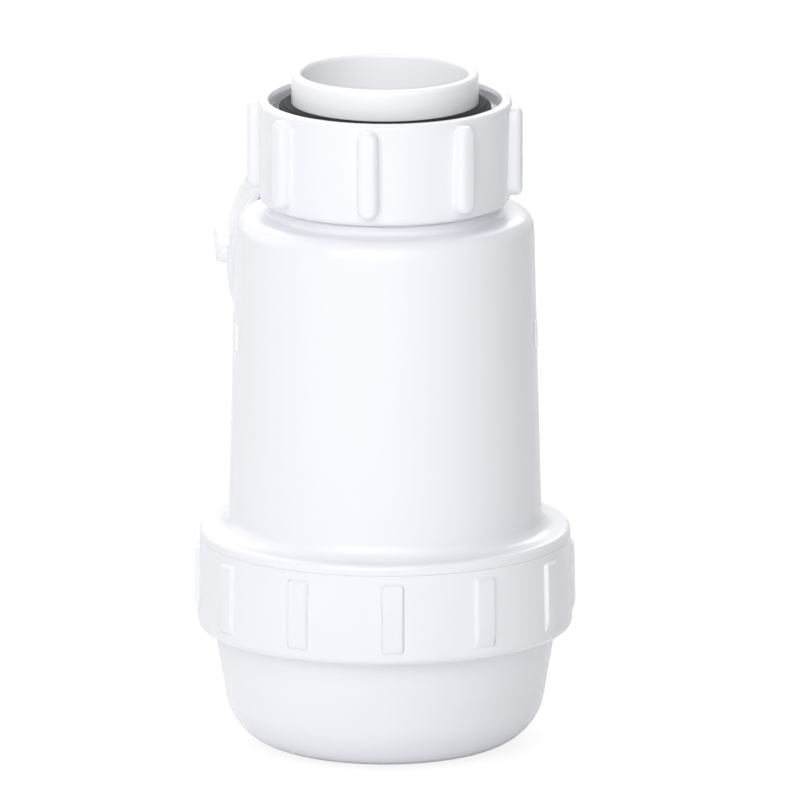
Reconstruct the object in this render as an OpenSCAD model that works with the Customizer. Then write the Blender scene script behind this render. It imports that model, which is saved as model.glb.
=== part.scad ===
// Shallow bottle trap for a basin waste: a moulded body with a union inlet on top,
// a compression outlet at the back and a ribbed bottle cup that screws on below.
// Millimetres, +Z up. The origin is the centre of the flat foot of the cup.

/* [Bottle cup] */
// How far the edge of the flat foot lies inside the top of the cup wall
cup_foot_in = 14.3; // [10:0.1:20]
// Radius of the rounded corner between foot and wall
cup_corner_r = 12; // [4:0.5:13]
// Height of the cup below its ribbed ring
cup_depth = 24.6; // [19:0.1:36]
// How far the cup wall's outside lies inside the bore of the ring
cup_step = 0.6; // [0.2:0.1:1.4]
// Wall of the cup
cup_wall = 2.4; // [1.6:0.1:2.7]
// Height of the ribbed ring
ring_h = 19.1; // [14:0.1:26]
// Outside radius of the ring at its foot
ring_r = 38.8; // [34:0.1:46]
// How much the ring narrows from its foot to its top
ring_draft = 0.4; // [0:0.1:0.8]
// Wall of the ring at its top edge
ring_wall = 2.4; // [1.8:0.1:4]
// Radius of the ring's lower edge
ring_corner_r = 3; // [0.5:0.1:3.4]

/* [Ring ribs] */
// Number of grip ribs round the ring
ring_ribs = 12; // [6:1:20]
// Width of a grip rib on the ring
ring_rib_w = 4.6; // [2:0.1:8]
// How far a grip rib stands proud of the ring
ring_rib_out = 0.75; // [0.3:0.05:1.5]
// Bare height left at the top of the ring
ring_rib_top_gap = 2.1; // [1:0.1:4]

/* [Body] */
// Height of the body from the ring's top edge to its flat top
body_h = 68.5; // [66:0.5:90]
// Wall of the body
body_wall = 2.6; // [1.8:0.1:3.2]
// Width of the flat left between the inlet's ledge and the shoulder
top_flat_w = 1.3; // [0.5:0.1:6]
// Radius of the rounded shoulder under the body's flat top
body_corner_r = 5.7; // [3:0.1:6.5]
// Width of the flange round the foot of the body wall
flange_w = 5.95; // [4.5:0.05:7]
// Height of the flange that covers the ring
flange_h = 2.1; // [2:0.1:5]
// Radius of the flange's upper edge
flange_corner_r = 1.9; // [0.5:0.1:2]
// Radius of the hollow fillet between flange and wall
flange_fillet_r = 4; // [1:0.1:4.2]
// Height of the two small lugs at the sides of the body
lug_h = 5.6; // [2:0.1:8]
// How far a side lug stands proud of the wall
lug_out = 0.55; // [0.2:0.05:1.5]
// Angle that a side lug covers round the body
lug_angle = 24; // [8:1:40]
// Height of the middle of the lugs under the body's flat top
lug_drop = 25.2; // [12:0.2:40]

/* [Cup thread and seal] */
// Clearance between the skirt and the bore of the ring
skirt_gap = 1.1; // [0.9:0.05:1.3]
// How far the bore of the skirt lies inside the bore of the cup
skirt_lap = 0.4; // [0:0.1:1]
// Length of the taper inside the skirt, under the ring's top edge
skirt_taper_low = 2; // [1:0.5:8]
// Length of the taper inside the skirt, over the ring's top edge
skirt_taper_high = 1.5; // [0.5:0.5:4]
// Thickness of the flat seal under the skirt
cup_seal_h = 2.2; // [1.2:0.1:4]
// Clearance between the flat seal and the bore of the ring
cup_seal_gap = 0.15; // [0.05:0.05:0.5]

/* [Inlet] */
// Outside radius of the spigot tube
tube_r = 19.35; // [16:0.05:23]
// Wall of the spigot tube
tube_wall = 2.15; // [1.2:0.05:3]
// How far the spigot stands above the rim of the inlet nut
tube_out = 5.7; // [2:0.1:15]
// Bevel round the open end of the spigot
tube_edge = 0.6; // [0.1:0.05:0.6]
// Running clearance between the spigot tube and the neck
tube_gap = 0.1; // [0.02:0.01:0.3]
// Height of the collar round the spigot tube
collar_h = 1.5; // [1:0.1:3]
// How far the collar stands out from the spigot tube
collar_out = 1.55; // [0.8:0.05:2]
// Wall of the neck
neck_wall = 1.55; // [1.2:0.05:3]
// How far the inlet nut's ledge stands out from the neck
ledge_out = 2.8; // [1:0.1:4]
// Height of that ledge
ledge_h = 2.1; // [1:0.1:4]
// How far the neck's flange and the washer stand out from the neck
neck_flange_out = 0.9; // [0.5:0.05:1.2]
// Height of the neck's flange
neck_flange_h = 3.3; // [2.5:0.1:5]
// Depth of the washer's seat under the rim of the inlet nut
washer_drop = 3.8; // [3:0.1:8]
// Height of the rubber washer at its outer edge
washer_h = 2.4; // [1.5:0.1:3]
// How much higher the washer is at its inner edge
washer_rise = 0.9; // [0:0.1:1.5]
// Share of that rise which the washer has halfway across
washer_crown = 0.8; // [0.5:0.05:1]

/* [Union nuts] */
// Height of a union nut
nut_h = 21.5; // [19:0.5:28]
// Room between the neck's flange and the thread's groove in a nut
nut_play = 2; // [1.5:0.1:3]
// Wall of a nut at its open rim
nut_wall = 2.4; // [1.8:0.1:4]
// How much a nut narrows to its lipped end
nut_draft = 0.5; // [0:0.1:1]
// Radius of the rounded edge round a nut's open rim
nut_edge_r = 1.4; // [0.3:0.1:1.6]
// Bevel round the outside of a nut's lipped end
nut_foot_edge = 0.5; // [0.1:0.1:1]
// Bevel round the mouth of a nut's thread
nut_mouth_edge = 0.4; // [0.1:0.1:0.8]
// Thickness of the inward lip that holds a nut on
lip_h = 2.7; // [1.5:0.1:4]
// Clearance between the lip and what passes through it
lip_gap = 0.3; // [0.2:0.05:0.5]
// Number of grip ribs round a nut
nut_ribs = 8; // [5:1:14]
// Width of a grip rib on a nut
nut_rib_w = 4.3; // [2:0.1:8]
// How far a grip rib stands out from the nut's rim
nut_rib_out = 2.3; // [1:0.1:2.6]
// Bare height left under the ribs at a nut's lipped end
nut_rib_low_gap = 1.8; // [0.8:0.1:4]
// Bare height left over the ribs at a nut's open end
nut_rib_high_gap = 1; // [0.7:0.1:4]
// Turn of the inlet nut about its axis
inlet_nut_turn = -9.8; // [-20:0.1:20]
// Turn of the outlet nut about its axis
outlet_nut_turn = -4.2; // [-20:0.1:20]

/* [Outlet] */
// Side offset of the outlet from the body's axis
outlet_x = -5.2; // [-8:0.1:8]
// Distance from the side of the body to the open end of the outlet nut
outlet_reach = 3.2; // [2.6:0.1:10]
// Radius of the waterway from the body into the socket
port_r = 15.6; // [10:0.1:17]
// Depth of the waterway's top under the ceiling of the body
port_drop = 0.7; // [0.1:0.1:8]
// Room between the outlet spigot and the thread's groove in the nut
spigot_play = 1.55; // [1.2:0.05:2]
// Wall of the outlet spigot
spigot_wall = 2.15; // [1.8:0.05:3]
// Wall of the outlet spigot at its open end
spigot_mouth_wall = 0.6; // [0.3:0.1:1]
// How far the outlet collar stands out from the spigot
outlet_collar_out = 0.85; // [0.2:0.05:2]
// Gap between the outlet collar and the rim of the nut
outlet_collar_gap = 1.2; // [0.6:0.1:3]
// Depth of the pipe socket
socket_depth = 14; // [8:0.5:16]
// Depth of water that the trap holds under the waterway
water_seal = 38; // [25:0.5:45]
// Length of the tapered outlet seal
outlet_seal_h = 4.2; // [3:0.1:6]
// Length of the seal that lies in the mouth of the spigot
outlet_seal_in = 1.5; // [1:0.1:2.4]
// Distance from the seal's tip to the foot of that mouth
outlet_seal_tip = 0.5; // [0.3:0.1:0.9]
// How far the seal's shoulder lies inside the outside of the spigot
outlet_seal_edge = 0.3; // [0.1:0.05:0.5]
// Thickness of the slip ring between seal and nut
slip_ring_h = 1.2; // [0.8:0.1:2]

/* [Clearances] */
// Clearance between pieces that move apart
move_gap = 0.3; // [0.15:0.05:0.6]
// Clearance between the body's flange and the ring's top edge
seam_gap = 0.1; // [0.05:0.05:0.5]
// Clearance round the waste pipe and the spigot
pipe_gap = 0.1; // [0.05:0.05:0.2]
// Clearance under the shoulder of the outlet seal
seal_gap = 0.05; // [0.02:0.01:0.2]
// Clearance round the inlet nut where the outlet passes behind it
nut_clear = 0.75; // [0.5:0.05:2]

/* [Hidden] */
$fn = 96;
cut = 1;
fine_cut = 0.01;
arc_steps = 12;
white_plastic = [0.93, 0.935, 0.94];
black_rubber = [0.16, 0.165, 0.17];
natural_plastic = [0.9, 0.9, 0.9];

// Cup and ring, from the outside of the ring inwards
ring_top_r = ring_r - ring_draft;
ring_bore_r = ring_top_r - ring_wall;
cup_top_r = ring_bore_r - cup_step;
cup_in_r = cup_top_r - cup_wall;
cup_foot_r = cup_top_r - cup_foot_in;
cup_wall_run = [cup_foot_in, cup_depth - cup_corner_r];
cup_corner_end = atan2(cup_wall_run[1], cup_wall_run[0]) - acos(cup_corner_r / norm(cup_wall_run));
seam_z = cup_depth + ring_h;
ledge_z = cup_depth + cup_wall;

// Inlet and nuts, from the spigot tube outwards
neck_bore_r = tube_r + tube_gap;
neck_r = neck_bore_r + neck_wall;
collar_r = tube_r + collar_out;
neck_flange_r = neck_r + neck_flange_out;
ledge_r = neck_r + ledge_out;
nut_bore_r = neck_flange_r + nut_play;
nut_mouth_r = nut_bore_r + nut_wall;
nut_lip_end_r = nut_mouth_r - nut_draft;
nut_clear_r = nut_mouth_r + nut_rib_out + nut_clear;
inlet_lip_r = neck_r + lip_gap;

// Body, with its foot on the ring and its top round the inlet
skirt_r = ring_bore_r - skirt_gap;
skirt_in_r = cup_in_r - skirt_lap;
skirt_z = ledge_z + cup_seal_h + move_gap;
body_low_r = ring_top_r - flange_w;
body_high_r = ledge_r + top_flat_w + body_corner_r;
flange_z = seam_z + seam_gap;
flange_top_z = flange_z + flange_h;
body_top_z = seam_z + body_h;
body_in_top_z = body_top_z - body_wall;
nut_z = body_top_z + ledge_h + move_gap;
washer_z = nut_z + nut_h - washer_drop;
collar_z = washer_z - collar_h;
neck_flange_z = washer_z - neck_flange_h;
tube_top_z = nut_z + nut_h + tube_out;

// Outlet, from the body towards +Y
outlet_z = body_in_top_z - port_drop - port_r;
tube_foot_z = outlet_z - port_r - water_seal;
outlet_spigot_r = nut_bore_r - spigot_play;
socket_r = outlet_spigot_r - spigot_wall;
spigot_mouth_r = outlet_spigot_r - spigot_mouth_wall;
outlet_collar_r = outlet_spigot_r + outlet_collar_out;
outlet_lip_r = socket_r + lip_gap;
outlet_nut_y = body_high_r + outlet_reach;
outlet_collar_y = outlet_nut_y - outlet_collar_gap;
outlet_end_y = outlet_nut_y + nut_h;
slip_ring_y = outlet_end_y - lip_h - move_gap - slip_ring_h;
outlet_seal_y = slip_ring_y - move_gap - outlet_seal_h;
spigot_end_y = outlet_seal_y + outlet_seal_in;
socket_y = spigot_end_y - socket_depth;

// Points along an arc in the profile plane, from angle a0 to angle a1
function arc(x, z, r, a0, a1) =
    [for (i = [0:arc_steps]) let (a = a0 + (a1 - a0) * i / arc_steps) [x + r * cos(a), z + r * sin(a)]];

// Radius of the body's outer wall at a height
function body_r(z) =
    let (run = body_top_z - body_corner_r - flange_top_z)
    body_low_r + (body_high_r - body_low_r) * (z - flange_top_z) / run;

// Solid of revolution round the Z axis from profile points
module lathe(points) {
    rotate_extrude() polygon(points);
}

// Turns a shape built along +Z so that it runs along the outlet, towards +Y
module on_outlet(y) {
    translate([outlet_x, y, outlet_z]) rotate([-90, 0, 0]) children();
}

// Grip ribs with round ends round a nut that stands on its lipped end
module nut_rib_set() {
    end_r = nut_rib_w / 2;
    low_z = nut_rib_low_gap + end_r;
    high_z = nut_h - nut_rib_high_gap - end_r;
    root_r = (nut_bore_r + nut_lip_end_r) / 2;
    for (i = [0:nut_ribs - 1])
        rotate([0, 0, i * 360 / nut_ribs]) translate([0, -root_r, 0]) rotate([90, 0, 0])
            linear_extrude(nut_mouth_r + nut_rib_out - root_r)
                polygon(concat(arc(0, high_z, end_r, 0, 180), arc(0, low_z, end_r, 180, 360)));
}

// Union nut standing on its lipped end, with its threaded mouth up
module union_nut(lip_r) {
    difference() {
        union() {
            lathe(concat(
                [[0, 0], [nut_lip_end_r - nut_foot_edge, 0], [nut_lip_end_r, nut_foot_edge]],
                arc(nut_mouth_r - nut_edge_r, nut_h - nut_edge_r, nut_edge_r, 0, 90),
                [[0, nut_h]]));
            nut_rib_set();
        }
        translate([0, 0, -cut]) cylinder(h = lip_h + 2 * cut, r = lip_r);
        translate([0, 0, lip_h]) cylinder(h = nut_h, r = nut_bore_r);
        translate([0, 0, nut_h - nut_mouth_edge])
            cylinder(h = nut_mouth_edge + cut, r1 = nut_bore_r, r2 = nut_bore_r + nut_mouth_edge + cut);
    }
}

// Flat-fronted grip ribs round the cup's ring
module ring_rib_set() {
    low_z = cup_depth + ring_corner_r;
    high_z = seam_z - ring_rib_top_gap;
    root_r = (ring_bore_r + ring_top_r) / 2;
    intersection() {
        for (i = [0:ring_ribs - 1])
            rotate([0, 0, 270 + i * 360 / ring_ribs]) translate([root_r, -ring_rib_w / 2, low_z])
                cube([ring_r + ring_rib_out + cut - root_r, ring_rib_w, high_z - low_z]);
        difference() {
            translate([0, 0, cup_depth])
                cylinder(h = ring_h, r1 = ring_r + ring_rib_out, r2 = ring_top_r + ring_rib_out);
            translate([0, 0, cup_depth - cut]) cylinder(h = ring_h + 2 * cut, r = root_r);
        }
    }
}

module bottle_cup() {
    in_corner_r = cup_corner_r - cup_wall;
    color(white_plastic) difference() {
        union() {
            lathe(concat(
                [[0, 0]],
                arc(cup_foot_r, cup_corner_r, cup_corner_r, -90, cup_corner_end),
                [[cup_top_r, cup_depth]],
                arc(ring_r - ring_corner_r, cup_depth + ring_corner_r, ring_corner_r, -90, 0),
                [[ring_top_r, seam_z], [0, seam_z]]));
            ring_rib_set();
        }
        lathe(concat(
            [[0, cup_wall]],
            arc(cup_foot_r, cup_corner_r, in_corner_r, -90, cup_corner_end),
            [[cup_in_r, cup_depth], [cup_in_r, ledge_z], [ring_bore_r, ledge_z],
            [ring_bore_r, seam_z + cut], [0, seam_z + cut]]));
    }
}

module cup_seal() {
    color(black_rubber) translate([0, 0, ledge_z]) difference() {
        cylinder(h = cup_seal_h, r = ring_bore_r - cup_seal_gap);
        translate([0, 0, -cut]) cylinder(h = cup_seal_h + 2 * cut, r = cup_in_r);
    }
}

// Outside of the body, filled in down to its axis
module body_outside() {
    fillet_r = min(flange_fillet_r, flange_w - flange_corner_r);
    lathe(concat(
        [[0, skirt_z], [skirt_r, skirt_z], [skirt_r, flange_z], [ring_top_r, flange_z]],
        arc(ring_top_r - flange_corner_r, flange_top_z - flange_corner_r, flange_corner_r, 0, 90),
        arc(body_low_r + fillet_r, flange_top_z + fillet_r, fillet_r, 270, 180),
        arc(body_high_r - body_corner_r, body_top_z - body_corner_r, body_corner_r, 0, 90),
        [[ledge_r, body_top_z], [ledge_r, body_top_z + ledge_h], [neck_r, body_top_z + ledge_h],
        [neck_r, neck_flange_z], [neck_flange_r, neck_flange_z], [neck_flange_r, washer_z],
        [0, washer_z]]));
}

// Chamber inside the body, open through the skirt and the neck
module body_inside() {
    in_low_r = body_low_r - body_wall;
    in_high_r = body_high_r - body_wall;
    in_corner_r = body_corner_r - body_wall;
    lathe(concat(
        [[0, skirt_z - cut], [skirt_in_r, skirt_z - cut], [skirt_in_r, seam_z - skirt_taper_low],
        [in_low_r, seam_z + skirt_taper_high]],
        arc(in_high_r - in_corner_r, body_in_top_z - in_corner_r, in_corner_r, 0, 90),
        [[neck_bore_r, body_in_top_z], [neck_bore_r, collar_z], [collar_r + pipe_gap, collar_z],
        [collar_r + pipe_gap, washer_z + cut], [0, washer_z + cut]]));
}

// Two shallow lugs at the sides of the wall
module side_lugs() {
    mid_z = body_top_z - lug_drop;
    wall_r = body_r(mid_z);
    half = lug_angle / 2;
    reach = 2 * wall_r;
    for (side = [0, 180])
        intersection() {
            translate([0, 0, mid_z - lug_h / 2]) difference() {
                cylinder(h = lug_h, r = wall_r + lug_out);
                translate([0, 0, -cut]) cylinder(h = lug_h + 2 * cut, r = wall_r - body_wall / 2);
            }
            rotate([0, 0, side]) translate([0, 0, mid_z - lug_h]) linear_extrude(2 * lug_h)
                polygon([[0, 0], [reach * cos(half), -reach * sin(half)],
                    [reach * cos(half), reach * sin(half)]]);
        }
}

// Collar and threaded spigot of the outlet, kept clear of the inlet nut
module outlet_outside() {
    difference() {
        union() {
            on_outlet(0) cylinder(h = spigot_end_y, r = outlet_spigot_r);
            on_outlet(0) cylinder(h = outlet_collar_y, r = outlet_collar_r);
        }
        translate([0, 0, body_top_z]) cylinder(h = outlet_collar_r, r = nut_clear_r);
    }
}

module trap_body() {
    color(white_plastic) difference() {
        union() {
            body_outside();
            side_lugs();
            outlet_outside();
        }
        body_inside();
        on_outlet(0) cylinder(h = socket_y + cut, r = port_r);
        on_outlet(socket_y) cylinder(h = socket_depth + cut, r = socket_r);
        on_outlet(outlet_seal_y) cylinder(h = outlet_seal_in + fine_cut, r1 = socket_r, r2 = spigot_mouth_r);
    }
}

module dip_tube() {
    inner_r = tube_r - tube_wall;
    inner_edge = tube_edge / 2;
    color(white_plastic) lathe([
        [inner_r, tube_foot_z], [tube_r, tube_foot_z], [tube_r, collar_z], [collar_r, collar_z],
        [collar_r, washer_z], [tube_r, washer_z], [tube_r, tube_top_z - tube_edge],
        [tube_r - tube_edge, tube_top_z], [inner_r + inner_edge, tube_top_z],
        [inner_r, tube_top_z - inner_edge]]);
}

module inlet_washer() {
    inner_r = tube_r + pipe_gap / 2;
    mid_r = (inner_r + neck_flange_r) / 2;
    top_z = washer_z + washer_h;
    color(black_rubber) lathe([
        [inner_r, washer_z], [neck_flange_r, washer_z], [neck_flange_r, top_z],
        [mid_r, top_z + washer_crown * washer_rise], [inner_r, top_z + washer_rise]]);
}

module inlet_nut() {
    color(white_plastic) translate([0, 0, nut_z]) rotate([0, 0, inlet_nut_turn])
        union_nut(inlet_lip_r);
}

// Tapered ring whose tip lies in the spigot's mouth and whose shoulder lies over its end
module outlet_seal() {
    bore_r = socket_r + pipe_gap;
    tip_r = bore_r + 2 * pipe_gap;
    shoulder_r = outlet_spigot_r - outlet_seal_edge;
    shoulder_h = outlet_seal_in + seal_gap;
    color(black_rubber) on_outlet(outlet_seal_y) lathe([
        [bore_r, outlet_seal_tip], [tip_r, outlet_seal_tip], [spigot_mouth_r - pipe_gap, shoulder_h],
        [shoulder_r, shoulder_h], [shoulder_r, outlet_seal_h], [bore_r, outlet_seal_h]]);
}

module outlet_slip_ring() {
    color(natural_plastic) on_outlet(slip_ring_y) difference() {
        cylinder(h = slip_ring_h, r = outlet_spigot_r);
        translate([0, 0, -cut]) cylinder(h = slip_ring_h + 2 * cut, r = socket_r + 2 * pipe_gap);
    }
}

module outlet_nut() {
    color(white_plastic) on_outlet(outlet_end_y) rotate([180, 0, 0]) rotate([0, 0, outlet_nut_turn])
        union_nut(outlet_lip_r);
}

trap_body();
bottle_cup();
cup_seal();
dip_tube();
inlet_washer();
inlet_nut();
outlet_seal();
outlet_slip_ring();
outlet_nut();
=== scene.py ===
import math

import bmesh
import bpy
from mathutils import Matrix, Vector


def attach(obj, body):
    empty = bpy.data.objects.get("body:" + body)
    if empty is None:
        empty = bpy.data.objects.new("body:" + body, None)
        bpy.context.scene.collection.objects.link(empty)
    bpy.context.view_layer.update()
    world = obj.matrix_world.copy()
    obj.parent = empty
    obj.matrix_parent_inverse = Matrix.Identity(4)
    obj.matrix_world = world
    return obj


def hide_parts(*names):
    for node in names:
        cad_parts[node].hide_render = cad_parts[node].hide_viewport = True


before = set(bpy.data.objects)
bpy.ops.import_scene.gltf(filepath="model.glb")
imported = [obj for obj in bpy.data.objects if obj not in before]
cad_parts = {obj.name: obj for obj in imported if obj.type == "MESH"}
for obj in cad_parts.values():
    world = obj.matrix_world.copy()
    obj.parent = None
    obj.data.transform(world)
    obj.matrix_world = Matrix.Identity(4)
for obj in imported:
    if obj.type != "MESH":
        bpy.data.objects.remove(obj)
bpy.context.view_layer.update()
mm = 0.001

# The photograph's view: a long lens a little above the trap, turned slightly to its left
viewPoint = {
    "azimuth": -2.3,
    "elevation": 13.1,
    "frameWidth": 165.5,  # millimetres across the picture at the trap's axis
    "lookHeight": 72.1,
    "lookRight": 3.1,
    "distance": 6900,
}


def makeCamera():
    turn, lift = math.radians(viewPoint["azimuth"]), math.radians(viewPoint["elevation"])
    back = Vector((math.sin(turn) * math.cos(lift), -math.cos(turn) * math.cos(lift), math.sin(lift)))
    right = Vector((math.cos(turn), math.sin(turn), 0))
    look = Vector((0, 0, viewPoint["lookHeight"])) + right * viewPoint["lookRight"]
    data = bpy.data.cameras.new("camera")
    data.sensor_width = 36
    data.lens = 36 * viewPoint["distance"] / viewPoint["frameWidth"]
    data.clip_start, data.clip_end = 0.1, 20
    camera = bpy.data.objects.new("camera", data)
    camera.location = (look + back * viewPoint["distance"]) * mm
    camera.rotation_mode = "QUATERNION"
    camera.rotation_quaternion = (-back).to_track_quat("-Z", "Y")
    bpy.context.scene.collection.objects.link(camera)
    bpy.context.scene.camera = camera


makeCamera()
print("camera placed")


# Profiles are lists of (radius, height, rounding) in millimetres
def roundCorners(points, closed=True, steps=7, support=0.12):
    out = []
    count = len(points)
    for i, (x, y, rounding) in enumerate(points):
        here = Vector((x, y))
        if rounding <= 0 or (not closed and i in (0, count - 1)):
            out.append((x, y))
            continue
        before = Vector(points[i - 1][:2]) - here
        after = Vector(points[(i + 1) % count][:2]) - here
        corner = before.angle(after)
        reach = min(rounding / math.tan(corner / 2), 0.49 * before.length, 0.49 * after.length)
        radius = reach * math.tan(corner / 2)
        middle = here + (before.normalized() + after.normalized()).normalized() * radius / math.sin(corner / 2)
        start = here + before.normalized() * reach - middle
        sweep = math.pi - corner
        if start.cross(here + after.normalized() * reach - middle) < 0:
            sweep = -sweep
        number = max(2, math.ceil(steps * abs(sweep) / (math.pi / 2)))
        if reach + support < 0.49 * before.length:
            out.append(tuple(here + before.normalized() * (reach + support)))
        for k in range(number + 1):
            turned = Matrix.Rotation(sweep * k / number, 2) @ start
            out.append(tuple(middle + turned))
        if reach + support < 0.49 * after.length:
            out.append(tuple(here + after.normalized() * (reach + support)))
    return out


def newObject(name, bm, sharpAngle=38):
    bmesh.ops.remove_doubles(bm, verts=bm.verts, dist=1e-7)
    bmesh.ops.recalc_face_normals(bm, faces=bm.faces)
    mesh = bpy.data.meshes.new(name)
    bm.to_mesh(mesh)
    bm.free()
    mesh.shade_smooth()
    mesh.set_sharp_from_angle(angle=math.radians(sharpAngle))
    made = bpy.data.objects.new(name, mesh)
    bpy.context.scene.collection.objects.link(made)
    return made


def lathe(name, points, segments=224, closed=True):
    bm = bmesh.new()
    rings = []
    for radius, height in points:
        if radius < 1e-6:
            pole = bm.verts.new((0, 0, height * mm))
            rings.append([pole] * segments)
            continue
        ring = []
        for k in range(segments):
            angle = math.tau * k / segments
            ring.append(bm.verts.new((radius * mm * math.sin(angle), -radius * mm * math.cos(angle), height * mm)))
        rings.append(ring)
    pairs = list(zip(rings, rings[1:]))
    if closed:
        pairs.append((rings[-1], rings[0]))
    for low, high in pairs:
        for k in range(segments):
            n = (k + 1) % segments
            corners = []
            for v in (low[k], low[n], high[n], high[k]):
                if v not in corners:
                    corners.append(v)
            if len(corners) > 2:
                bm.faces.new(corners)
    return newObject(name, bm)


# A rib is a stack of its outline: each level is (growth of the outline, height above the wall).
# A ramp lets the lower end run out into the wall.
def ribBlock(name, halfWidth, lowEnd, highEnd, cornerRound, levels, wallRadius, steps=8, ramp=0.0, rampShare=0.2):
    bm = bmesh.new()

    def place(x, z, out):
        distance = wallRadius(z) + out
        return bm.verts.new((distance * mm * math.sin(x / distance), -distance * mm * math.cos(x / distance), z * mm))

    def arcPair(sideAngles, middleHeight, radius, out):
        placed = []
        for side, firstAngle in sideAngles:
            for k in range(steps + 1):
                angle = math.radians(firstAngle + 90 * k / steps)
                placed.append(place(side * (halfWidth - cornerRound) + radius * math.cos(angle),
                                    middleHeight + radius * math.sin(angle), out))
        return placed

    rings = []
    for grow, out in levels:
        radius = max(cornerRound + grow, 0.02)
        edge = halfWidth - cornerRound + radius
        lowOut = out * rampShare if ramp and out > 0 else out
        upper = arcPair(((1, 0), (-1, 90)), highEnd - cornerRound, radius, out)
        left, right = place(-edge, lowEnd + cornerRound + ramp + 0.01, out), place(edge, lowEnd + cornerRound + ramp + 0.01, out)
        lower = arcPair(((-1, 180), (1, 270)), lowEnd + cornerRound, radius, lowOut)
        rings.append((upper, left, lower, right))
    loops = [upper + [left] + lower + [right] for upper, left, lower, right in rings]
    total = len(loops[0])
    for low, high in zip(loops, loops[1:]):
        for k in range(total):
            n = (k + 1) % total
            bm.faces.new((low[k], low[n], high[n], high[k]))
    for upper, left, lower, right in (rings[0], rings[-1]):
        bm.faces.new(upper + [left, right])
        bm.faces.new([right, left] + lower)
    bmesh.ops.triangulate(bm, faces=[f for f in bm.faces if len(f.verts) > 4])
    return newObject(name, bm, 50)


def roundedLevels(out, foot, crown, draft=0.0, steps=5):
    levels = [(foot + draft, -0.4), (foot + draft, 0.0)]
    for k in range(1, steps + 1):  # hollow foot
        a = math.pi / 2 * k / steps
        levels.append((draft + foot * (1 - math.sin(a)), foot * (1 - math.cos(a))))
    for k in range(steps + 1):  # rounded crown
        a = math.pi / 2 * k / steps
        levels.append((-crown * (1 - math.cos(a)), out - crown + crown * math.sin(a)))
    return levels


def addSocket(group, name, kind, default=None, output=False):
    made = group.interface.new_socket(name, in_out="OUTPUT" if output else "INPUT", socket_type=kind)
    if default is not None:
        made.default_value = default
    return made


def mathNode(group, operation, first, second=None):
    node = group.nodes.new("ShaderNodeMath")
    node.operation = operation
    for socket, value in zip(node.inputs, (first, second)):
        if isinstance(value, (int, float)):
            socket.default_value = value
        elif value is not None:
            group.links.new(value, socket)
    return node.outputs[0]


def ringOfRibsTree():
    tree = bpy.data.node_groups.new("ring of ribs", "GeometryNodeTree")
    addSocket(tree, "Geometry", "NodeSocketGeometry")
    addSocket(tree, "Rib", "NodeSocketObject")
    addSocket(tree, "Count", "NodeSocketInt", 9)
    addSocket(tree, "First Angle", "NodeSocketFloat", 0.0)
    addSocket(tree, "Material", "NodeSocketMaterial")
    addSocket(tree, "Geometry", "NodeSocketGeometry", output=True)
    nodes, links = tree.nodes, tree.links
    given, result = nodes.new("NodeGroupInput"), nodes.new("NodeGroupOutput")
    points = nodes.new("GeometryNodePoints")
    links.new(given.outputs["Count"], points.inputs["Count"])
    info = nodes.new("GeometryNodeObjectInfo")
    links.new(given.outputs["Rib"], info.inputs["Object"])
    index = nodes.new("GeometryNodeInputIndex")
    step = mathNode(tree, "DIVIDE", math.tau, given.outputs["Count"])
    angle = mathNode(tree, "ADD", mathNode(tree, "MULTIPLY", index.outputs[0], step), given.outputs["First Angle"])
    turn = nodes.new("ShaderNodeCombineXYZ")
    links.new(angle, turn.inputs["Z"])
    place = nodes.new("GeometryNodeInstanceOnPoints")
    links.new(points.outputs[0], place.inputs["Points"])
    links.new(info.outputs["Geometry"], place.inputs["Instance"])
    links.new(turn.outputs[0], place.inputs["Rotation"])
    join = nodes.new("GeometryNodeJoinGeometry")
    links.new(given.outputs["Geometry"], join.inputs[0])
    links.new(place.outputs[0], join.inputs[0])
    realize, paint = nodes.new("GeometryNodeRealizeInstances"), nodes.new("GeometryNodeSetMaterial")
    links.new(join.outputs[0], realize.inputs[0])
    links.new(realize.outputs[0], paint.inputs["Geometry"])
    links.new(given.outputs["Material"], paint.inputs["Material"])
    links.new(paint.outputs[0], result.inputs[0])
    return tree


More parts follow.
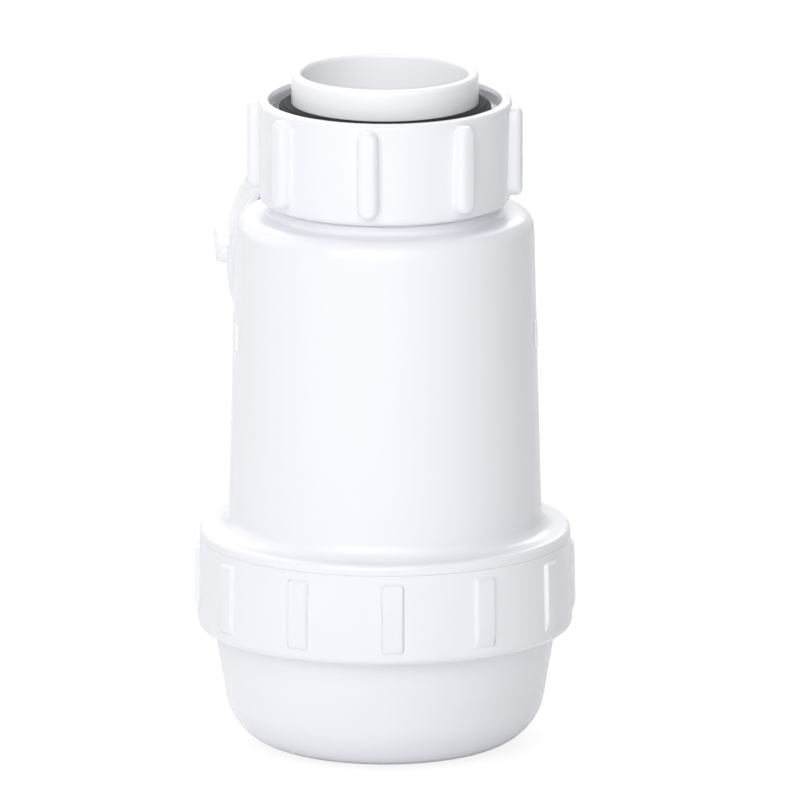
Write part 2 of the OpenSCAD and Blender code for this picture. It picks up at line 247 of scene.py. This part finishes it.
def threadTree():
    tree = bpy.data.node_groups.new("helical thread", "GeometryNodeTree")
    addSocket(tree, "Geometry", "NodeSocketGeometry")
    addSocket(tree, "Pitch", "NodeSocketFloat", 0.0023)
    addSocket(tree, "Turns", "NodeSocketFloat", 4.0)
    addSocket(tree, "Radius", "NodeSocketFloat", 0.024)
    addSocket(tree, "Depth", "NodeSocketFloat", 0.0014)
    addSocket(tree, "Width", "NodeSocketFloat", 0.0010)
    addSocket(tree, "Low End", "NodeSocketFloat", 0.0)
    addSocket(tree, "Run Out", "NodeSocketFloat", 0.08)
    addSocket(tree, "Material", "NodeSocketMaterial")
    addSocket(tree, "Geometry", "NodeSocketGeometry", output=True)
    nodes, links = tree.nodes, tree.links
    given, result = nodes.new("NodeGroupInput"), nodes.new("NodeGroupOutput")
    coil = nodes.new("GeometryNodeCurveSpiral")
    coil.inputs["Resolution"].default_value = 96
    links.new(given.outputs["Turns"], coil.inputs["Rotations"])
    links.new(given.outputs["Radius"], coil.inputs["Start Radius"])
    links.new(given.outputs["Radius"], coil.inputs["End Radius"])
    links.new(mathNode(tree, "MULTIPLY", given.outputs["Pitch"], given.outputs["Turns"]), coil.inputs["Height"])
    upright = nodes.new("GeometryNodeSetCurveNormal")
    upright.mode = "Z_UP"
    links.new(coil.outputs[0], upright.inputs["Curve"])
    along = nodes.new("GeometryNodeSplineParameter")
    fromStart = mathNode(tree, "DIVIDE", along.outputs["Factor"], given.outputs["Run Out"])
    fromEnd = mathNode(tree, "DIVIDE", mathNode(tree, "SUBTRACT", 1.0, along.outputs["Factor"]), given.outputs["Run Out"])
    taper = mathNode(tree, "MAXIMUM", mathNode(tree, "MINIMUM", mathNode(tree, "MINIMUM", fromStart, fromEnd), 1.0), 0.05)
    swell = nodes.new("GeometryNodeSetCurveRadius")
    links.new(upright.outputs[0], swell.inputs["Curve"])
    links.new(taper, swell.inputs["Radius"])
    section = nodes.new("GeometryNodeCurvePrimitiveCircle")
    section.inputs["Resolution"].default_value = 8
    section.inputs["Radius"].default_value = 1.0
    stretch = nodes.new("GeometryNodeTransform")
    size = nodes.new("ShaderNodeCombineXYZ")
    links.new(given.outputs["Depth"], size.inputs["X"])
    links.new(given.outputs["Width"], size.inputs["Y"])
    size.inputs["Z"].default_value = 1.0
    links.new(section.outputs[0], stretch.inputs["Geometry"])
    links.new(size.outputs[0], stretch.inputs["Scale"])
    sweep = nodes.new("GeometryNodeCurveToMesh")
    sweep.inputs["Fill Caps"].default_value = True
    links.new(swell.outputs[0], sweep.inputs["Curve"])
    links.new(stretch.outputs[0], sweep.inputs["Profile Curve"])
    if "Scale" in sweep.inputs:
        links.new(taper, sweep.inputs["Scale"])
    lift = nodes.new("GeometryNodeTransform")
    rise = nodes.new("ShaderNodeCombineXYZ")
    links.new(given.outputs["Low End"], rise.inputs["Z"])
    links.new(sweep.outputs[0], lift.inputs["Geometry"])
    links.new(rise.outputs[0], lift.inputs["Translation"])
    join = nodes.new("GeometryNodeJoinGeometry")
    links.new(given.outputs["Geometry"], join.inputs[0])
    links.new(lift.outputs[0], join.inputs[0])
    realize, paint = nodes.new("GeometryNodeRealizeInstances"), nodes.new("GeometryNodeSetMaterial")
    links.new(join.outputs[0], realize.inputs[0])
    links.new(realize.outputs[0], paint.inputs["Geometry"])
    links.new(given.outputs["Material"], paint.inputs["Material"])
    links.new(paint.outputs[0], result.inputs[0])
    return tree


# Runs a node tree on a piece and keeps the plain mesh that it makes
def applyTree(piece, tree, values):
    modifier = piece.modifiers.new("nodes", "NODES")
    modifier.node_group = tree
    for item in tree.interface.items_tree:
        if item.item_type == "SOCKET" and item.in_out == "INPUT" and item.name in values:
            modifier[item.identifier] = values[item.name]
    shown = piece.evaluated_get(bpy.context.evaluated_depsgraph_get())
    mesh = bpy.data.meshes.new_from_object(shown)
    piece.modifiers.remove(modifier)
    old, piece.data = piece.data, mesh
    mesh.name = piece.name
    bpy.data.meshes.remove(old)


def cutWith(piece, tools, operation="DIFFERENCE"):
    for tool in tools:
        modifier = piece.modifiers.new("cut", "BOOLEAN")
        modifier.operation, modifier.object, modifier.solver = operation, tool, "MANIFOLD"
        shown = piece.evaluated_get(bpy.context.evaluated_depsgraph_get())
        mesh = bpy.data.meshes.new_from_object(shown)
        piece.modifiers.remove(modifier)
        old, piece.data = piece.data, mesh
        mesh.name = piece.name
        bpy.data.meshes.remove(old)
        bpy.data.objects.remove(tool)
    piece.data.shade_smooth()
    piece.data.set_sharp_from_angle(angle=math.radians(38))


# Fine moulding grain: slow tone drift and a dull speckle in the gloss
def mouldGrainGroup():
    group = bpy.data.node_groups.new("mould grain", "ShaderNodeTree")
    addSocket(group, "Colour", "NodeSocketColor", (0.8, 0.8, 0.8, 1))
    addSocket(group, "Shade Colour", "NodeSocketColor", (0.7, 0.7, 0.72, 1))
    addSocket(group, "Drift Size", "NodeSocketFloat", 30.0)
    addSocket(group, "Drift Amount", "NodeSocketFloat", 0.5)
    addSocket(group, "Grain Size", "NodeSocketFloat", 2200.0)
    addSocket(group, "Gloss Low", "NodeSocketFloat", 0.3)
    addSocket(group, "Gloss High", "NodeSocketFloat", 0.4)
    addSocket(group, "Colour", "NodeSocketColor", output=True)
    addSocket(group, "Roughness", "NodeSocketFloat", output=True)
    addSocket(group, "Height", "NodeSocketFloat", output=True)
    nodes, links = group.nodes, group.links
    given, result = nodes.new("NodeGroupInput"), nodes.new("NodeGroupOutput")
    place = nodes.new("ShaderNodeTexCoord")
    drift = nodes.new("ShaderNodeTexNoise")
    links.new(place.outputs["Object"], drift.inputs["Vector"])
    links.new(given.outputs["Drift Size"], drift.inputs["Scale"])
    drift.inputs["Detail"].default_value = 3
    mix = nodes.new("ShaderNodeMix")
    mix.data_type = "RGBA"
    links.new(mathNode(group, "MULTIPLY", drift.outputs["Fac"], given.outputs["Drift Amount"]), mix.inputs["Factor"])
    links.new(given.outputs["Colour"], mix.inputs[6])
    links.new(given.outputs["Shade Colour"], mix.inputs[7])
    links.new(mix.outputs[2], result.inputs["Colour"])
    grain = nodes.new("ShaderNodeTexNoise")
    links.new(place.outputs["Object"], grain.inputs["Vector"])
    links.new(given.outputs["Grain Size"], grain.inputs["Scale"])
    grain.inputs["Detail"].default_value = 2
    spread = nodes.new("ShaderNodeMapRange")
    links.new(drift.outputs["Fac"], spread.inputs["Value"])
    links.new(given.outputs["Gloss Low"], spread.inputs["To Min"])
    links.new(given.outputs["Gloss High"], spread.inputs["To Max"])
    links.new(spread.outputs[0], result.inputs["Roughness"])
    links.new(grain.outputs["Fac"], result.inputs["Height"])
    return group


def newMaterial(name, group, values, bump, fixed):
    material = bpy.data.materials.new(name)
    material.use_nodes = True
    nodes, links = material.node_tree.nodes, material.node_tree.links
    shader = nodes["Principled BSDF"]
    grain = nodes.new("ShaderNodeGroup")
    grain.node_tree = group
    for key, value in values.items():
        grain.inputs[key].default_value = value
    links.new(grain.outputs["Colour"], shader.inputs["Base Color"])
    links.new(grain.outputs["Roughness"], shader.inputs["Roughness"])
    raised = nodes.new("ShaderNodeBump")
    raised.inputs["Strength"].default_value = bump[0]
    raised.inputs["Distance"].default_value = bump[1]
    links.new(grain.outputs["Height"], raised.inputs["Height"])
    links.new(raised.outputs[0], shader.inputs["Normal"])
    for key, value in fixed.items():
        shader.inputs[key].default_value = value
    return material


mouldGrain = mouldGrainGroup()
whitePlastic = newMaterial(
    "white plastic", mouldGrain,
    {"Colour": (0.9, 0.906, 0.948, 1), "Shade Colour": (0.88, 0.888, 0.934, 1), "Drift Size": 40, "Drift Amount": 0.6,
     "Grain Size": 2500, "Gloss Low": 0.19, "Gloss High": 0.26},
    (0.08, 0.00002), {"IOR": 1.49, "Specular IOR Level": 0.45})
# Dip tube: the same white plastic painted lighter, as painted light standing in for the light that falls into the
# tube's shaded inside
tubePlasticPaintedLighter = newMaterial(
    "tube plastic", mouldGrain,
    {"Colour": (0.97, 0.976, 0.995, 1), "Shade Colour": (0.956, 0.963, 0.986, 1), "Drift Size": 40, "Drift Amount": 0.6,
     "Grain Size": 2500, "Gloss Low": 0.19, "Gloss High": 0.26},
    (0.08, 0.00002), {"IOR": 1.49, "Specular IOR Level": 0.45})
blackRubber = newMaterial(
    "black rubber", mouldGrain,
    {"Colour": (0.022, 0.023, 0.026, 1), "Shade Colour": (0.03, 0.031, 0.034, 1), "Drift Size": 120, "Drift Amount": 0.8,
     "Grain Size": 3500, "Gloss Low": 0.55, "Gloss High": 0.72},
    (0.35, 0.00005), {"IOR": 1.5, "Specular IOR Level": 0.06})
naturalRing = newMaterial(
    "natural plastic ring", mouldGrain,
    {"Colour": (0.74, 0.74, 0.71, 1), "Shade Colour": (0.68, 0.68, 0.66, 1), "Drift Size": 80, "Drift Amount": 0.7,
     "Grain Size": 3000, "Gloss Low": 0.34, "Gloss High": 0.5},
    (0.1, 0.00002), {"IOR": 1.51})
ribRing = ringOfRibsTree()
thread = threadTree()
print("materials and node trees built")


def finishPiece(piece, body, node, material):
    piece.data.materials.clear()
    piece.data.materials.append(material)
    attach(piece, body)
    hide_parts(node)


nut = {
    "height": 21.5, "mouthRadius": 26.3, "lipRadius": 25.8, "boreRadius": 23.9, "rimRound": 1.4, "footRound": 1.1,
    "lipThickness": 2.7, "ribs": 8, "ribWidth": 4.3, "ribBase": 26.1, "ribTip": 28.6, "ribLow": 1.8, "ribHigh": 20.5,
    "ribCrown": 1.3, "ribFoot": 0.15, "pitch": 2.309, "threadTurns": 6.6, "threadDepth": 1.3, "threadHalfWidth": 0.85, "threadLow": 3.9,
}


def makeNut(name, lipHole, turn):
    n = nut
    top = n["height"]
    shell = lathe(name, roundCorners([
        (lipHole, 0, 0.3), (n["lipRadius"], 0, n["footRound"]), (n["mouthRadius"], top, n["rimRound"]),
        (n["boreRadius"] + 0.35, top, 0.4), (n["boreRadius"], top - 1.0, 0.3), (n["boreRadius"], n["lipThickness"], 0.4),
        (lipHole, n["lipThickness"], 0.3)]))
    rib = ribBlock("rib", n["ribWidth"] / 2, n["ribLow"], n["ribHigh"], n["ribWidth"] / 2 - 0.001,
                   roundedLevels(n["ribTip"] - n["ribBase"], n["ribFoot"], n["ribCrown"]), lambda z: n["ribBase"])
    applyTree(shell, ribRing, {"Rib": rib, "Count": n["ribs"], "First Angle": math.radians(turn), "Material": whitePlastic})
    bpy.data.objects.remove(rib)
    applyTree(shell, thread, {
        "Pitch": n["pitch"] * mm, "Turns": n["threadTurns"], "Radius": (n["boreRadius"] + 0.05) * mm,
        "Depth": n["threadDepth"] * mm, "Width": n["threadHalfWidth"] * mm, "Low End": n["threadLow"] * mm,
        "Material": whitePlastic})
    return shell


def placeMesh(piece, matrix):
    piece.data.transform(matrix)
    if matrix.determinant() < 0:
        piece.data.flip_normals()


inletNut = makeNut("inletNut", 21.3, -9.8)
placeMesh(inletNut, Matrix.Translation((0, 0, 114.6 * mm)))
finishPiece(inletNut, "inlet_nut", "inlet_nut", whitePlastic)

outlet = {"x": -5.2, "z": 93.3, "nutOpenEnd": 34.0, "collarRadius": 23.2, "collarEnd": 32.8, "spigotRadius": 22.35,
          "spigotEnd": 48.3, "socketRadius": 20.2, "socketFloor": 34.3, "portRadius": 15.6}
alongOutlet = Matrix.Translation((outlet["x"] * mm, 0, outlet["z"] * mm)) @ Matrix.Rotation(math.radians(-90), 4, "X")
outletNut = makeNut("outletNut", 20.5, -4.2)
placeMesh(outletNut, alongOutlet @ Matrix.Translation((0, 0, (outlet["nutOpenEnd"] + 21.5) * mm))
          @ Matrix.Rotation(math.pi, 4, "X"))
finishPiece(outletNut, "outlet_nut", "outlet_nut", whitePlastic)
print("nuts built")

spigot = {"outer": 19.35, "bore": 17.2, "foot": 39.7, "top": 141.8, "collarLow": 130.8, "collarTop": 132.3, "collarRadius": 20.9}


def makeDipTube():
    s = spigot
    return lathe("dipTube", roundCorners([
        (s["bore"], s["foot"], 0.4), (s["outer"], s["foot"], 0.6), (s["outer"], s["collarLow"], 0.1),
        (s["collarRadius"], s["collarLow"], 0.2), (s["collarRadius"], s["collarTop"], 0.2),
        (s["outer"], s["collarTop"], 0.1), (s["outer"], s["top"], 1.05), (s["bore"], s["top"], 1.0)]))


finishPiece(makeDipTube(), "trap", "dip_tube", tubePlasticPaintedLighter)


def makeInletWasher():
    return lathe("inletWasher", roundCorners([
        (19.4, 132.3, 0.15), (21.9, 132.3, 0.15), (21.9, 134.6, 0.3), (21.2, 134.95, 0.1), (20.9, 135.25, 0.25),
        (20.2, 135.5, 0.25), (19.95, 135.35, 0.1), (19.4, 135.6, 0.15)]))


finishPiece(makeInletWasher(), "trap", "inlet_washer", blackRubber)

cup = {
    "footRadius": 21.1, "cornerRadius": 12.0, "ringFoot": 24.6, "wallTop": 35.4, "wall": 2.4, "ringRadius": 38.8,
    "ringTopRadius": 38.4, "ringTop": 43.7, "ringCorner": 3.0, "boreRadius": 36.0, "ledge": 27.0, "ribs": 12,
    "ribWidth": 4.1, "ribOut": 0.75, "ribLow": 27.6, "ribHigh": 41.6, "pitch": 4.0, "threadTurns": 2.4,
    "threadDepth": 0.85, "threadHalfWidth": 1.05, "threadLow": 31.5,
}


def ringWall(z):
    share = (z - cup["ringFoot"]) / (cup["ringTop"] - cup["ringFoot"])
    return cup["ringRadius"] + (cup["ringTopRadius"] - cup["ringRadius"]) * share


def arcPoints(centreRadius, centreHeight, radius, fromAngle, toAngle, steps):
    points = []
    for k in range(steps + 1):
        a = math.radians(fromAngle + (toAngle - fromAngle) * k / steps)
        points.append((centreRadius + radius * math.cos(a), centreHeight + radius * math.sin(a)))
    return points


def makeCup():
    c = cup
    rise, run = c["ringFoot"] - c["cornerRadius"], c["wallTop"] - c["footRadius"]
    lean = math.degrees(math.atan2(rise, run) - math.acos(c["cornerRadius"] / math.hypot(rise, run)))  # corner meets wall
    outside = arcPoints(c["footRadius"], c["cornerRadius"], c["cornerRadius"], -90, lean, 26)
    upper = roundCorners([
        (outside[-1][0], outside[-1][1], 0), (c["wallTop"], c["ringFoot"], 0.5),
        (c["ringRadius"], c["ringFoot"], c["ringCorner"]), (c["ringTopRadius"], c["ringTop"], 0.06),
        (c["boreRadius"] + 0.3, c["ringTop"], 0.2), (c["boreRadius"], c["ringTop"] - 0.8, 0.2),
        (c["boreRadius"], c["ledge"], 0.3), (c["wallTop"] - c["wall"], c["ledge"], 0.3),
        (c["wallTop"] - c["wall"], c["ringFoot"] - 1, 0)], closed=False)
    inside = arcPoints(c["footRadius"], c["cornerRadius"], c["cornerRadius"] - c["wall"], lean, -90, 20)
    shell = lathe("bottleCup", [(0, 0)] + outside[:-1] + upper + inside + [(0, c["wall"])], closed=False)
    rib = ribBlock("rib", c["ribWidth"] / 2, c["ribLow"], c["ribHigh"], 0.3,
                   roundedLevels(c["ribOut"], 0.05, 0.12, draft=0.4), ringWall, ramp=1.8)
    applyTree(shell, ribRing, {"Rib": rib, "Count": c["ribs"], "First Angle": 0.0, "Material": whitePlastic})
    bpy.data.objects.remove(rib)
    applyTree(shell, thread, {
        "Pitch": c["pitch"] * mm, "Turns": c["threadTurns"], "Radius": (c["boreRadius"] + 0.05) * mm,
        "Depth": c["threadDepth"] * mm, "Width": c["threadHalfWidth"] * mm, "Low End": c["threadLow"] * mm,
        "Material": whitePlastic})
    return shell


finishPiece(makeCup(), "bottle_cup", "bottle_cup", whitePlastic)


def makeCupSeal():
    return lathe("cupSeal", roundCorners([
        (33.0, 27.0, 0.2), (35.85, 27.0, 0.2), (35.85, 29.2, 0.2), (34.9, 29.2, 0.1), (34.6, 28.9, 0.1),
        (34.3, 28.9, 0.1), (34.0, 29.2, 0.1), (33.0, 29.2, 0.2)]))


finishPiece(makeCupSeal(), "cup_seal", "cup_seal", blackRubber)
print("cup and seals built")

body = {
    "skirtFoot": 29.5, "skirtRadius": 34.9, "skirtBore": 32.6, "flangeLow": 43.74, "flangeRadius": 38.4, "flangeTop": 45.9,
    "flangeRound": 1.9, "fillet": 4.0, "lowRadius": 32.45, "highRadius": 30.8, "top": 112.2, "shoulderRound": 5.7,
    "ledgeRadius": 23.8, "ledgeTop": 114.3, "neckRadius": 21.0, "neckFlange": 21.9, "neckFlangeLow": 129.0, "neckTop": 132.3,
    "wall": 2.6, "neckBore": 19.45, "lugHeight": 5.6, "lugOut": 0.6, "lugMiddle": 87.0, "lugWidth": 13.2,
    "pitch": 4.0, "threadTurns": 2.4, "threadDepth": 0.85, "threadHalfWidth": 1.05, "threadLow": 31.0,
}


def bodyWall(z):
    b = body
    return b["lowRadius"] + (b["highRadius"] - b["lowRadius"]) * (z - b["flangeTop"]) / (b["top"] - 5.7 - b["flangeTop"])


def outletFlare(name, radius, end, flare):
    bm = bmesh.new()
    segments, steps = 160, 8
    rings = []
    levels = [(radius + flare, -1.2)]
    for k in range(steps + 1):
        a = math.pi / 2 * k / steps
        levels.append((radius + flare * (1 - math.sin(a)), flare * (1 - math.cos(a))))
    for ringRadius, rise in levels:
        ring = []
        for k in range(segments):
            angle = math.tau * k / segments
            x, z = outlet["x"] + ringRadius * math.cos(angle), outlet["z"] + ringRadius * math.sin(angle)
            wall = bodyWall(min(z, body["top"] - 5.7))
            if z > body["top"] - body["shoulderRound"]:
                drop = min(z - body["top"] + body["shoulderRound"], body["shoulderRound"])
                wall -= body["shoulderRound"] - math.sqrt(max(body["shoulderRound"] ** 2 - drop ** 2, 0))
            y = math.sqrt(max(wall ** 2 - x ** 2, 0)) + rise
            ring.append(bm.verts.new((x * mm, y * mm, z * mm)))
        rings.append(ring)
    last = []
    for k in range(segments):
        angle = math.tau * k / segments
        last.append(bm.verts.new((
            (outlet["x"] + radius * math.cos(angle)) * mm, end * mm, (outlet["z"] + radius * math.sin(angle)) * mm)))
    rings.append(last)
    for low, high in zip(rings, rings[1:]):
        for k in range(segments):
            n = (k + 1) % segments
            bm.faces.new((low[k], low[n], high[n], high[k]))
    bm.faces.new(last)
    middle = bm.verts.new((outlet["x"] * mm, 5 * mm, outlet["z"] * mm))
    for k in range(segments):
        bm.faces.new((rings[0][k], rings[0][(k + 1) % segments], middle))
    return newObject(name, bm)


def makeBody():
    b, o = body, outlet
    shell = lathe("trapBody", roundCorners([
        (0, b["skirtFoot"], 0), (b["skirtRadius"], b["skirtFoot"], 0.5), (b["skirtRadius"], b["flangeLow"], 0.2),
        (b["flangeRadius"], b["flangeLow"], 0.06), (b["flangeRadius"], b["flangeTop"], b["flangeRound"]),
        (b["lowRadius"], b["flangeTop"], b["fillet"]), (b["highRadius"], b["top"], b["shoulderRound"]),
        (b["ledgeRadius"], b["top"], 1.3), (b["ledgeRadius"], b["ledgeTop"], 0.8), (b["neckRadius"], b["ledgeTop"], 0.3),
        (b["neckRadius"], b["neckFlangeLow"], 0.2), (b["neckFlange"], b["neckFlangeLow"], 0.2),
        (b["neckFlange"], b["neckTop"], 0.3), (0, b["neckTop"], 0)], closed=False, steps=10))
    collar = outletFlare("collar", o["collarRadius"], o["collarEnd"], 1.2)
    spigotTube = lathe("spigotTube", roundCorners([
        (0, 20, 0), (o["spigotRadius"], 20, 0), (o["spigotRadius"], o["spigotEnd"], 0.4), (0, o["spigotEnd"], 0)], closed=False))
    placeMesh(spigotTube, alongOutlet)
    clear = lathe("clear", [(0, b["top"]), (29.35, b["top"]), (29.35, 140), (0, 140)], closed=False)
    cutWith(collar, [spigotTube], "UNION")
    cutWith(collar, [clear])
    cutWith(shell, [collar], "UNION")
    inside = lathe("inside", roundCorners([
        (0, b["skirtFoot"] - 2, 0), (b["skirtBore"], b["skirtFoot"] - 2, 0), (b["skirtBore"], 41.7, 1.0),
        (b["lowRadius"] - b["wall"], 45.2, 1.0), (b["highRadius"] - b["wall"], b["top"] - b["wall"], 3.1),
        (b["neckBore"], b["top"] - b["wall"], 0.5), (b["neckBore"], spigot["collarLow"], 0.1),
        (spigot["collarRadius"] + 0.1, spigot["collarLow"], 0.1), (spigot["collarRadius"] + 0.1, b["neckTop"] + 2, 0),
        (0, b["neckTop"] + 2, 0)], closed=False))
    port = lathe("port", [(0, 0), (o["portRadius"], 0), (o["portRadius"], o["socketFloor"] + 1), (0, o["socketFloor"] + 1)], closed=False)
    socket = lathe("socket", [
        (0, o["socketFloor"]), (o["socketRadius"], o["socketFloor"]), (o["socketRadius"], 46.8), (21.75, o["spigotEnd"] + 0.01),
        (21.75, o["spigotEnd"] + 1), (0, o["spigotEnd"] + 1)], closed=False)
    for tool in (port, socket):
        placeMesh(tool, alongOutlet)
    cutWith(shell, [inside, port, socket])
    lug = ribBlock("lug", b["lugWidth"] / 2, b["lugMiddle"] - b["lugHeight"] / 2, b["lugMiddle"] + b["lugHeight"] / 2, 0.5,
                   roundedLevels(b["lugOut"], 0.25, 0.3), bodyWall)
    applyTree(shell, ribRing, {"Rib": lug, "Count": 2, "First Angle": math.pi / 2, "Material": whitePlastic})
    bpy.data.objects.remove(lug)
    applyTree(shell, thread, {
        "Pitch": b["pitch"] * mm, "Turns": b["threadTurns"], "Radius": (b["skirtRadius"] - 0.05) * mm,
        "Depth": b["threadDepth"] * mm, "Width": b["threadHalfWidth"] * mm, "Low End": b["threadLow"] * mm,
        "Material": whitePlastic})
    return shell


finishPiece(makeBody(), "trap", "trap_body", whitePlastic)
print("body built")


def makeOutletSeal():
    ring = lathe("outletSeal", roundCorners([
        (20.3, 47.3, 0.1), (20.55, 47.3, 0.1), (21.62, 48.35, 0.1), (22.05, 48.35, 0.15), (22.05, 51.0, 0.25),
        (20.3, 51.0, 0.25)]))
    placeMesh(ring, alongOutlet)
    return ring


def makeSlipRing():
    ring = lathe("outletSlipRing", roundCorners([
        (20.4, 51.3, 0.2), (22.35, 51.3, 0.2), (22.35, 52.5, 0.2), (20.4, 52.5, 0.2)]))
    placeMesh(ring, alongOutlet)
    return ring


finishPiece(makeOutletSeal(), "trap", "outlet_seal", blackRubber)
finishPiece(makeSlipRing(), "slip_ring", "outlet_slip_ring", naturalRing)
print("outlet rings built")

studio = {
    "worldLevel": 0.02,       # what the object gets from all round
    "floorGlow": 0.86,        # what the camera sees of the floor before any light
    "floorShade": 0.19,       # share of the light that the floor shows, so its shadow stays
    "floorBounce": 0.95,       # what the floor sends back to the object
    "lampDistance": 1200,
}
lamps = [
    {"name": "key", "azimuth": -15, "elevation": 28, "size": (1200, 1200), "power": 9.9},
    {"name": "low front", "azimuth": -15, "elevation": 4, "size": (1200, 1200), "power": 0.8},
    {"name": "high left", "azimuth": -60, "elevation": 50, "size": (1200, 1200), "power": 1.6},
    {"name": "left", "azimuth": -120, "elevation": 30, "size": (1200, 1200), "power": 4.0},
    {"name": "back", "azimuth": 180, "elevation": 45, "size": (1200, 1200), "power": 11.0},
    {"name": "right", "azimuth": 45, "elevation": 50, "size": (1200, 1200), "power": 3.7},
]


def mixByRay(nodes, links, rays, other, seen):
    path = nodes.new("ShaderNodeLightPath")
    share = path.outputs[rays[0]]
    for ray in rays[1:]:
        more = nodes.new("ShaderNodeMath")
        more.operation = "MAXIMUM"
        links.new(share, more.inputs[0])
        links.new(path.outputs[ray], more.inputs[1])
        share = more.outputs[0]
    mix = nodes.new("ShaderNodeMixShader")
    links.new(share, mix.inputs[0])
    links.new(other, mix.inputs[1])
    links.new(seen, mix.inputs[2])
    return mix.outputs[0]


def makeFloor():
    bm = bmesh.new()
    bmesh.ops.create_grid(bm, x_segments=1, y_segments=1, size=1.5)
    floor = newObject("floor", bm)
    paint = bpy.data.materials.new("floor")
    paint.use_nodes = True
    nodes, links = paint.node_tree.nodes, paint.node_tree.links
    nodes.clear()
    bounce, shade = nodes.new("ShaderNodeBsdfDiffuse"), nodes.new("ShaderNodeBsdfDiffuse")
    bounce.inputs["Color"].default_value = [studio["floorBounce"]] * 3 + [1]
    shade.inputs["Color"].default_value = [studio["floorShade"]] * 3 + [1]
    glow, both = nodes.new("ShaderNodeEmission"), nodes.new("ShaderNodeAddShader")
    glow.inputs["Strength"].default_value = studio["floorGlow"]
    links.new(shade.outputs[0], both.inputs[0])
    links.new(glow.outputs[0], both.inputs[1])
    out = nodes.new("ShaderNodeOutputMaterial")
    links.new(mixByRay(nodes, links, ["Is Camera Ray"], bounce.outputs[0], both.outputs[0]), out.inputs["Surface"])
    floor.data.materials.append(paint)
    floor.location.z = -0.0001


def addLamp(lamp):
    data = bpy.data.lights.new(lamp["name"], "AREA")
    data.shape, data.size, data.size_y = "RECTANGLE", lamp["size"][0] * mm, lamp["size"][1] * mm
    data.energy = lamp["power"]
    made = bpy.data.objects.new(lamp["name"], data)
    a, e = math.radians(lamp["azimuth"]), math.radians(lamp["elevation"])
    back = Vector((math.sin(a) * math.cos(e), -math.cos(a) * math.cos(e), math.sin(e)))
    made.location = (Vector((0, 0, 75)) + back * studio["lampDistance"]) * mm
    made.rotation_mode = "QUATERNION"
    made.rotation_quaternion = (-back).to_track_quat("-Z", "Y")
    bpy.context.scene.collection.objects.link(made)


def makeWorld():
    world = bpy.data.worlds.new("studio")
    bpy.context.scene.world = world
    world.use_nodes = True
    nodes, links = world.node_tree.nodes, world.node_tree.links
    ambient, seen = nodes["Background"], nodes.new("ShaderNodeBackground")
    ambient.inputs["Color"].default_value = seen.inputs["Color"].default_value = (1, 1, 1, 1)
    ambient.inputs["Strength"].default_value = studio["worldLevel"]
    mixed = mixByRay(nodes, links, ["Is Camera Ray", "Is Glossy Ray", "Is Transmission Ray"],
                     ambient.outputs[0], seen.outputs[0])
    links.new(mixed, nodes["World Output"].inputs["Surface"])


makeFloor()
for lamp in lamps:
    addLamp(lamp)
makeWorld()
bpy.context.scene.view_settings.view_transform = "Standard"
print("stage lit")
